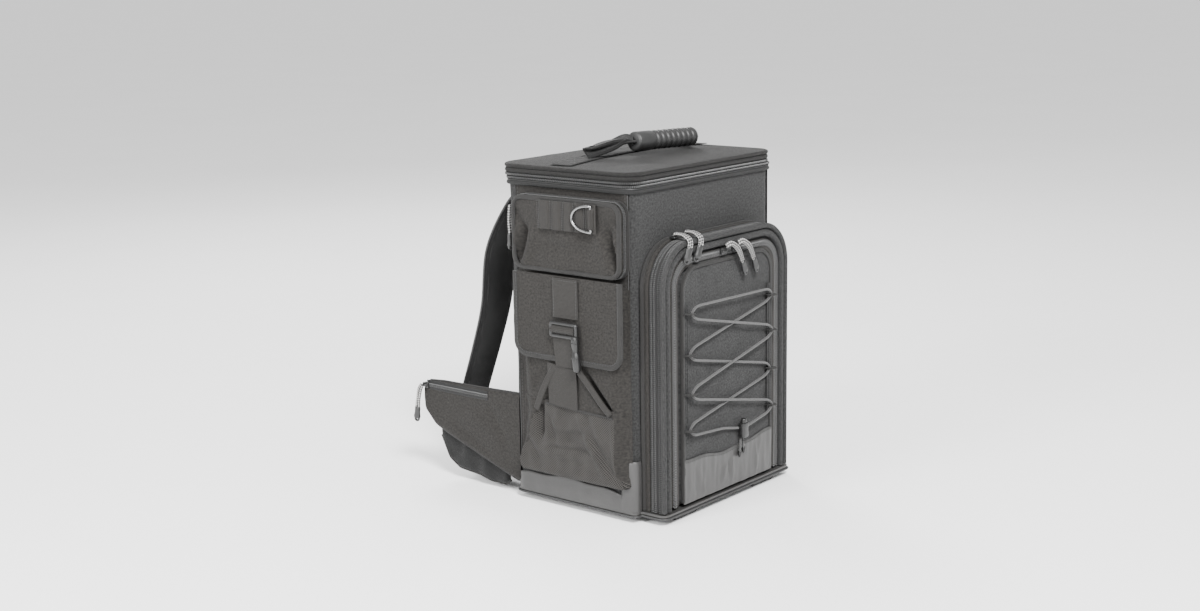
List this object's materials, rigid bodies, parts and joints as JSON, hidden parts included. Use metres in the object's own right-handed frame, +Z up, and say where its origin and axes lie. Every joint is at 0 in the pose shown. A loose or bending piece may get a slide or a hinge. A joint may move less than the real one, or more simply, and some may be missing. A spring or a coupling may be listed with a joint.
{
  "type": "tackle backpack",
  "caption": "Boxy fabric fishing pack with a hinged lid, a drop-down front door carrying a laced pocket, side pockets, shoulder straps and hip wings.",
  "frame": {"origin": "middle of the bounding box's footprint, on the floor that the runners stand on", "axes": "+Z up, -Y out of the front door, +X to the right as the front is looked at"},
  "size_m": [0.397, 0.4608, 0.5184],
  "materials": {
    "front_fabric": "woven nylon, dark grey",
    "side_fabric": "woven nylon, dark grey-brown",
    "webbing": "ribbed webbing, near black",
    "pad_fabric": "air mesh over foam, near black",
    "pocket_mesh": "open knitted mesh, dark grey",
    "zip_tape": "woven tape with nylon coil",
    "vinyl": "coated vinyl, semi-gloss, mid grey",
    "piping": "smooth piping, black",
    "hard_plastic": "moulded acetal, black",
    "board": "stiffener board",
    "grip_rubber": "ribbed moulded rubber",
    "ring_steel": "plated welded ring",
    "bungee": "braided elastic cord, grey",
    "pull_cord": "braided cord, off-white fleck, rubber end"
  },
  "bodies": {
    "pack": {"body_shell": "front_fabric", "divider_board": "board", "base_boot": "vinyl", "bottom_welt": "piping", "left_runner": "hard_plastic", "right_runner": "hard_plastic", "back_pad": "pad_fabric", "lid_zip_lower": "zip_tape", "door_frame": "front_fabric", "left_zip_pocket": "side_fabric", "left_daisy_webbing": "webbing", "left_pocket_body": "side_fabric", "left_pocket_mesh": "pocket_mesh", "right_zip_pocket": "side_fabric", "right_mesh_pocket": "pocket_mesh", "right_ring_tab": "webbing"},
    "lid": {"lid_panel": "front_fabric", "handle_strap": "webbing"},
    "handle": {"handle_loop": "webbing", "handle_grip": "grip_rubber"},
    "door": {"door_panel": "front_fabric", "door_pocket_zip": "zip_tape"},
    "front_pocket": {"pocket_panel": "front_fabric", "kick_panel": "vinyl", "bungee_cord": "bungee", "loop_tape_left": "webbing", "loop_tape_right": "webbing", "cord_lock": "hard_plastic"},
    "lock_button": {"cord_lock_button": "hard_plastic"},
    "side_flap": {"left_flap": "side_fabric", "left_flap_strap": "webbing", "left_buckle": "hard_plastic"},
    "left_ring": {"left_d_ring": "ring_steel"},
    "right_ring": {"right_d_ring": "ring_steel"},
    "left_strap": {"left_shoulder_pad": "pad_fabric", "left_ladder_lock": "hard_plastic", "left_shoulder_webbing": "webbing"},
    "right_strap": {"right_shoulder_pad": "pad_fabric", "right_ladder_lock": "hard_plastic", "right_shoulder_webbing": "webbing"},
    "left_wing": {"left_hip_wing": "side_fabric", "left_hip_buckle": "hard_plastic"},
    "right_wing": {"right_hip_wing": "side_fabric", "right_hip_buckle": "hard_plastic"},
    "door_zip_1": {"door_slider_1": "hard_plastic"},
    "door_tag_1": {"door_pull_1": "pull_cord"},
    "door_zip_2": {"door_slider_2": "hard_plastic"},
    "door_tag_2": {"door_pull_2": "pull_cord"},
    "pocket_zip_1": {"pocket_slider_1": "hard_plastic"},
    "pocket_tag_1": {"pocket_pull_1": "pull_cord"},
    "pocket_zip_2": {"pocket_slider_2": "hard_plastic"},
    "pocket_tag_2": {"pocket_pull_2": "pull_cord"},
    "side_zip": {"left_pocket_slider": "hard_plastic"},
    "side_tag": {"left_pocket_pull": "pull_cord"},
    "lid_zip_1": {"lid_slider_1": "pull_cord"},
    "lid_zip_2": {"lid_slider_2": "pull_cord"},
    "right_side_zip": {"right_pocket_slider": "pull_cord"},
    "left_hip_zip": {"left_hip_slider": "hard_plastic"},
    "left_hip_tag": {"left_hip_pull": "pull_cord"},
    "right_hip_zip": {"right_hip_slider": "pull_cord"}
  },
  "joints": [
    {"name": "lid_hinge", "type": "hinge", "parent": "pack", "child": "lid", "pos_m": [-0.0015, 0.05525, 0.4608], "axis": [-1, 0, 0], "range_deg": [0, 100]},
    {"name": "handle_swing", "type": "hinge", "parent": "lid", "child": "handle", "pos_m": [-0.0015, -0.05195, 0.4925], "axis": [-1, 0, 0], "range_deg": [0, 150]},
    {"name": "door_hinge", "type": "hinge", "parent": "pack", "child": "door", "pos_m": [-0.0015, -0.21715, 0.0162], "axis": [1, 0, 0], "range_deg": [0, 65]},
    {"name": "pocket_hinge", "type": "hinge", "parent": "door", "child": "front_pocket", "pos_m": [-0.0015, -0.21755, 0.0194], "axis": [1, 0, 0], "range_deg": [0, 25]},
    {"name": "lock_button_press", "type": "slide", "parent": "front_pocket", "child": "lock_button", "axis": [0, 0, -1], "range_m": [0, 0.004], "stiffness_N_per_m": 400, "springref_m": -0.004},
    {"name": "flap_hinge", "type": "hinge", "parent": "pack", "child": "side_flap", "pos_m": [-0.1879, -0.07995, 0.3334], "axis": [0, 1, 0], "range_deg": [0, 100]},
    {"name": "left_ring_swing", "type": "hinge", "parent": "pack", "child": "left_ring", "pos_m": [-0.1923, -0.12995, 0.416], "axis": [0, 0, 1], "range_deg": [0, 150]},
    {"name": "right_ring_swing", "type": "hinge", "parent": "pack", "child": "right_ring", "pos_m": [0.1668, -0.15395, 0.396], "axis": [0, 0, -1], "range_deg": [0, 150]},
    {"name": "left_strap_swing", "type": "hinge", "parent": "pack", "child": "left_strap", "pos_m": [-0.0865, 0.05105, 0.438], "axis": [-0.0962, -0.0168, -0.9952], "range_deg": [0, 8]},
    {"name": "right_strap_swing", "type": "hinge", "parent": "pack", "child": "right_strap", "pos_m": [0.0835, 0.05105, 0.438], "axis": [-0.0962, 0.0168, 0.9952], "range_deg": [0, 8]},
    {"name": "left_wing_swing", "type": "hinge", "parent": "pack", "child": "left_wing", "pos_m": [-0.1675, 0.03905, 0.08], "axis": [0, 0, 1], "range_deg": [0, 75]},
    {"name": "right_wing_swing", "type": "hinge", "parent": "pack", "child": "right_wing", "pos_m": [0.1645, 0.03905, 0.08], "axis": [0, 0, -1], "range_deg": [0, 75]},
    {"name": "door_zip_1_travel", "type": "hinge", "parent": "door", "child": "door_zip_1", "pos_m": [-0.0895, -0.19395, 0.321], "axis": [0, -1, 0], "range_deg": [0, 80]},
    {"name": "door_zip_2_travel", "type": "slide", "parent": "door", "child": "door_zip_2", "axis": [1, 0, 0], "range_m": [0, 0.04]},
    {"name": "pocket_zip_1_travel", "type": "slide", "parent": "front_pocket", "child": "pocket_zip_1", "axis": [1, 0, 0], "range_m": [-0.04, 0]},
    {"name": "pocket_zip_2_travel", "type": "slide", "parent": "front_pocket", "child": "pocket_zip_2", "axis": [1, 0, 0], "range_m": [0, 0.05]},
    {"name": "door_tag_1_swing", "type": "hinge", "parent": "door_zip_1", "child": "door_tag_1", "pos_m": [-0.0945, -0.19495, 0.3907], "axis": [-1, 0, 0], "range_deg": [0, 80]},
    {"name": "door_tag_2_swing", "type": "hinge", "parent": "door_zip_2", "child": "door_tag_2", "pos_m": [-0.0695, -0.19495, 0.3907], "axis": [-1, 0, 0], "range_deg": [0, 80]},
    {"name": "pocket_tag_1_swing", "type": "hinge", "parent": "pocket_zip_1", "child": "pocket_tag_1", "pos_m": [-0.0175, -0.22485, 0.366], "axis": [-1, 0, 0], "range_deg": [0, 80]},
    {"name": "pocket_tag_2_swing", "type": "hinge", "parent": "pocket_zip_2", "child": "pocket_tag_2", "pos_m": [0.0095, -0.22485, 0.366], "axis": [-1, 0, 0], "range_deg": [0, 80]},
    {"name": "side_zip_travel", "type": "slide", "parent": "pack", "child": "side_zip", "axis": [0, 0, -1], "range_m": [0, 0.055]},
    {"name": "side_tag_swing", "type": "hinge", "parent": "side_zip", "child": "side_tag", "pos_m": [-0.1765, 0.02595, 0.422], "axis": [1, 0, 0], "range_deg": [0, 80]},
    {"name": "lid_zip_1_travel", "type": "slide", "parent": "pack", "child": "lid_zip_1", "axis": [0, -1, 0], "range_m": [0, 0.02]},
    {"name": "lid_zip_2_travel", "type": "slide", "parent": "pack", "child": "lid_zip_2", "axis": [0, -1, 0], "range_m": [0, 0.1]},
    {"name": "right_side_zip_travel", "type": "slide", "parent": "pack", "child": "right_side_zip", "axis": [0, -1, 0], "range_m": [0, 0.07]},
    {"name": "left_hip_zip_travel", "type": "slide", "parent": "left_wing", "child": "left_hip_zip", "axis": [0, -1, 0], "range_m": [0, 0.12]},
    {"name": "left_hip_tag_swing", "type": "hinge", "parent": "left_hip_zip", "child": "left_hip_tag", "pos_m": [-0.1739, 0.21405, 0.139], "axis": [0, 1, 0], "range_deg": [0, 80]},
    {"name": "right_hip_zip_travel", "type": "slide", "parent": "right_wing", "child": "right_hip_zip", "axis": [0, -1, 0], "range_m": [0, 0.12]}
  ]
}
